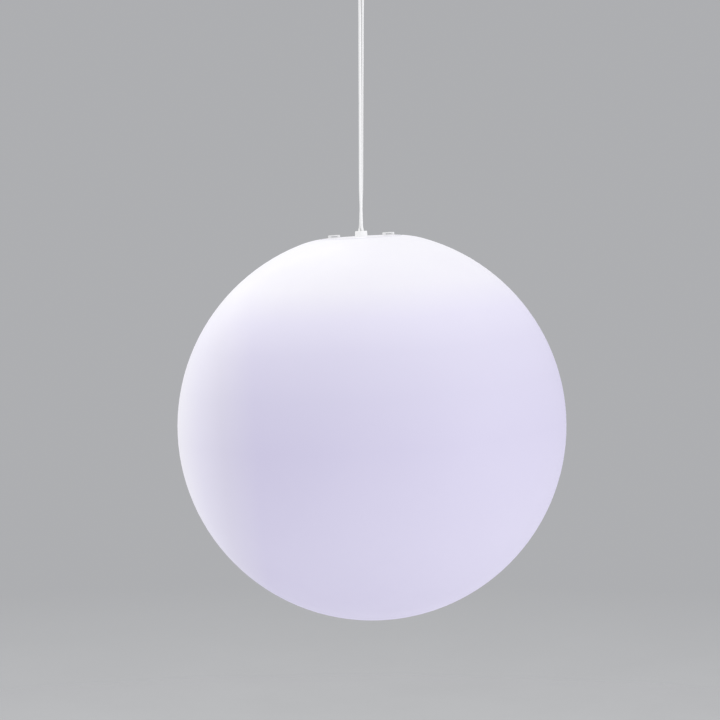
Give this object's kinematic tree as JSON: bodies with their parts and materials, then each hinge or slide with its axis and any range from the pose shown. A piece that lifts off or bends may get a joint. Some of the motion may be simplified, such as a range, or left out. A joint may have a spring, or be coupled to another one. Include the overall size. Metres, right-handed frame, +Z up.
{
  "type": "hanging globe light",
  "caption": "Large white glowing globe light hanging on a straight twin cord from a shallow round ceiling fitting, with a flush screwed cover and strain relief on its flattened crown.",
  "frame": {"origin": "on the ceiling, at the middle of the mounting bracket's top face, straight above the cord", "axes": "+Z up along the hanging cord, +X to the right in the picture and along the bracket's two ceiling holes, +Y away from the camera; the globe hangs at rest 3.2 degrees over, its left side lower"},
  "size_m": [0.4, 0.4, 0.6902],
  "materials": {
    "mounting_bracket": "zinc plated",
    "canopy": "satin moulded",
    "canopy_screws": "zinc plated",
    "cord_grip": "satin moulded",
    "grip_nut": "satin moulded",
    "grip_cap": "satin moulded",
    "grip_collet": "soft",
    "cord_head": "soft PVC",
    "terminal_block": "moulded",
    "terminal_tubes": "turned",
    "terminal_screws": "zinc plated",
    "block_screw": "zinc plated",
    "neutral_lead_top": "soft PVC",
    "live_lead_top": "soft PVC",
    "neutral_lead_lamp": "soft PVC",
    "live_lead_lamp": "soft PVC",
    "cord_top": "soft PVC",
    "cord": "soft PVC",
    "cord_tail": "soft PVC",
    "globe_shell": "moulded, satin, lit from inside",
    "cover_plate": "moulded",
    "cover_gasket": "silicone",
    "clamp_bar": "zinc plated",
    "cover_screws": "moulded",
    "screw_washers": "moulded",
    "strain_relief": "moulded",
    "relief_wedge": "moulded",
    "relief_seal": "soft",
    "cord_inner": "soft PVC",
    "nipple": "zinc plated",
    "nipple_nut": "turned",
    "holder_cap": "moulded",
    "holder_base": "glazed",
    "holder_terminals": "turned",
    "post_screws": "zinc plated",
    "screw_shell": "pressed",
    "centre_contact": "pressed",
    "holder_skirt": "moulded",
    "lamp_contact": "tinned",
    "lamp_insulator": "moulded",
    "lamp_cap": "pressed",
    "lamp_housing": "moulded",
    "led_board": "white face",
    "led_chips": "phosphor",
    "driver_board": "circuit board",
    "driver_parts": "moulded",
    "lamp_diffuser": "frosted"
  },
  "bodies": {
    "ceiling_fitting": {"mounting_bracket": "mounting_bracket", "canopy": "canopy", "canopy_screws": "canopy_screws", "cord_grip": "cord_grip", "grip_nut": "grip_nut", "grip_cap": "grip_cap", "grip_collet": "grip_collet", "cord_head": "cord_head", "terminal_block": "terminal_block", "terminal_tubes": "terminal_tubes", "terminal_screws": "terminal_screws", "block_screw": "block_screw", "neutral_lead_top": "neutral_lead_top", "live_lead_top": "live_lead_top"},
    "cord_bend": {"cord_top": "cord_top"},
    "free_cord": {"cord": "cord"},
    "turning_cord": {"cord_tail": "cord_tail"},
    "globe": {"globe_shell": "globe_shell", "cover_plate": "cover_plate", "cover_gasket": "cover_gasket", "clamp_bar": "clamp_bar", "cover_screws": "cover_screws", "screw_washers": "screw_washers", "strain_relief": "strain_relief", "relief_wedge": "relief_wedge", "relief_seal": "relief_seal", "cord_inner": "cord_inner", "nipple": "nipple", "nipple_nut": "nipple_nut", "holder_cap": "holder_cap", "holder_base": "holder_base", "holder_terminals": "holder_terminals", "post_screws": "post_screws", "neutral_lead_lamp": "neutral_lead_lamp", "live_lead_lamp": "live_lead_lamp", "screw_shell": "screw_shell", "centre_contact": "centre_contact", "holder_skirt": "holder_skirt", "lamp_contact": "lamp_contact", "lamp_insulator": "lamp_insulator", "lamp_cap": "lamp_cap", "lamp_housing": "lamp_housing", "led_board": "led_board", "led_chips": "led_chips", "driver_board": "driver_board", "driver_parts": "driver_parts", "lamp_diffuser": "lamp_diffuser"}
  },
  "joints": [
    {"name": "swing_side", "type": "hinge", "parent": "ceiling_fitting", "child": "cord_bend", "pos_m": [0, 0, -0.04115], "axis": [0, 1, 0], "range_deg": [-30, 30]},
    {"name": "swing_fore", "type": "hinge", "parent": "cord_bend", "child": "free_cord", "pos_m": [0, 0, -0.04715], "axis": [1, 0, 0], "range_deg": [-30, 30]},
    {"name": "globe_turn", "type": "hinge", "parent": "free_cord", "child": "turning_cord", "pos_m": [0, 0, -0.28009], "axis": [0, 0, 1], "range_deg": [-180, 180]},
    {"name": "globe_rock", "type": "hinge", "parent": "turning_cord", "child": "globe", "pos_m": [0, 0, -0.28809], "axis": [1, 0, 0], "range_deg": [-20, 20]}
  ]
}
